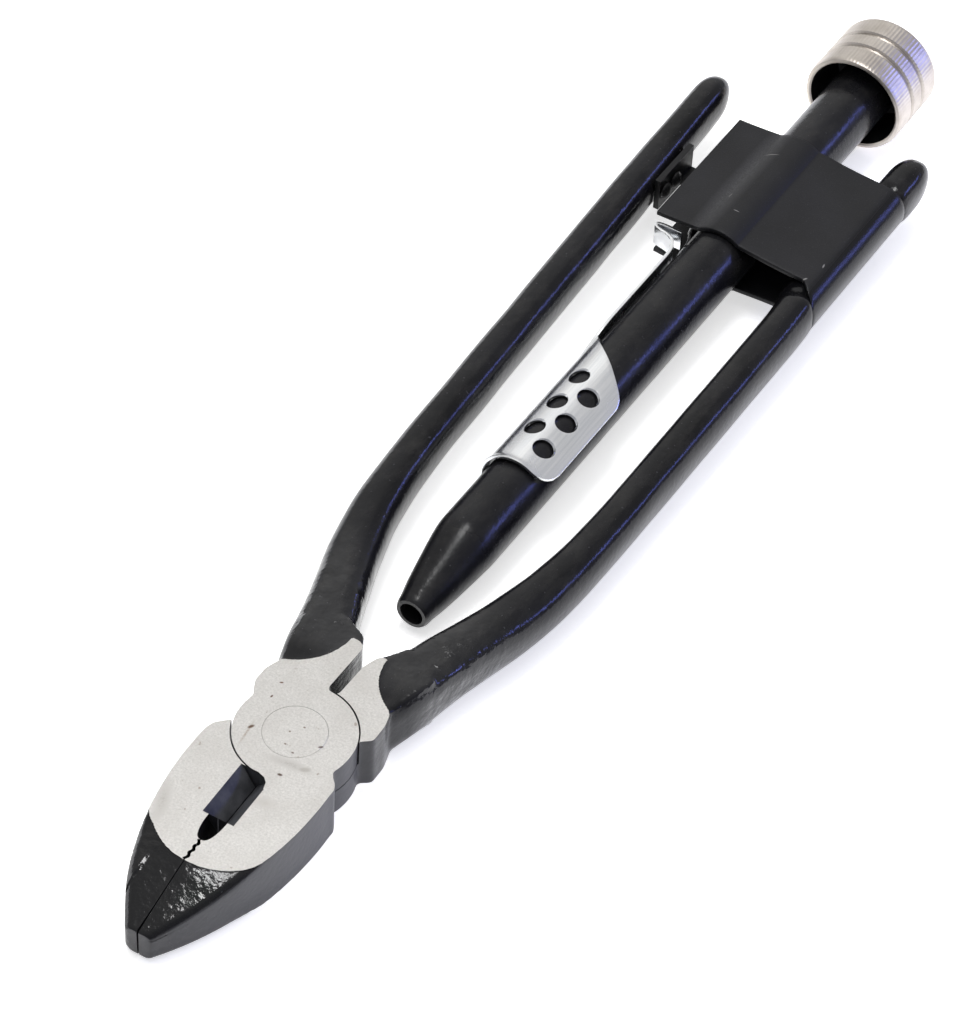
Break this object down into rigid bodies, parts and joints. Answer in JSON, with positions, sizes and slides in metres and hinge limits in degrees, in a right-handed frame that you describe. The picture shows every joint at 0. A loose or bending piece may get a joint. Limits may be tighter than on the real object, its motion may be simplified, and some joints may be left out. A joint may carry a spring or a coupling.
{
  "type": "lock-wire twisting pliers",
  "caption": "Combination pliers with side cutters, a pull-and-spin wire twister in a tube between the handles, and a sliding handle lock.",
  "frame": {"origin": "on the pivot's axis, at the head's flat underside", "axes": "+Z along the pivot's axis towards the top lap, +Y along the twister's tube from the head to the knob, +X towards the fixed handle"},
  "size_m": [0.0466, 0.237, 0.0191],
  "materials": {
    "black_enamel": "gloss black dipped enamel",
    "black_sheet": "satin black oxide sheet",
    "ground_steel": "surface ground",
    "bright_sheet": "bright plated",
    "nickel_knob": "satin, knurled",
    "zinc_plate": "zinc plated",
    "spring_steel": "oiled",
    "brass": "turned"
  },
  "bodies": {
    "frame": {"right_half": "black_enamel", "pivot_rivet": "ground_steel", "spindle_tube": "black_enamel", "handle_bracket": "black_sheet", "drive_nut": "brass", "nut_pin_left": "spring_steel", "nut_pin_right": "spring_steel", "return_spring": "spring_steel"},
    "left_lever": {"left_half": "black_enamel", "lock_lug": "black_sheet", "lug_rivet_front": "zinc_plate", "lug_rivet_rear": "zinc_plate"},
    "lock": {"lock_slide": "bright_sheet"},
    "follower": {"rod_follower": "brass"},
    "knob": {"twist_rod": "zinc_plate", "thrust_washer": "spring_steel", "rod_clip": "spring_steel", "knob_shell": "nickel_knob", "knob_washer": "zinc_plate", "knob_screw": "zinc_plate"}
  },
  "joints": [
    {"name": "jaw_pivot", "type": "hinge", "parent": "frame", "child": "left_lever", "pos_m": [0, 0, 0.00505], "axis": [0, 0, 1], "range_deg": [0, 28]},
    {"name": "lock_travel", "type": "slide", "parent": "frame", "child": "lock", "axis": [0, -1, 0], "range_m": [0, 0.004]},
    {"name": "knob_pull", "type": "slide", "parent": "frame", "child": "follower", "axis": [0, 1, 0], "range_m": [0, 0.065], "stiffness_N_per_m": 120, "springref_m": -0.02, "deforming": ["return_spring"]},
    {"name": "rod_spin", "type": "hinge", "parent": "follower", "child": "knob", "pos_m": [-0.0017, 0.066, 0.00505], "axis": [0, 1, 0], "range_deg": [0, 590]}
  ],
  "couplings": [
    {"joint": "rod_spin", "follows": "knob_pull", "rad_per_m": 157.08}
  ]
}
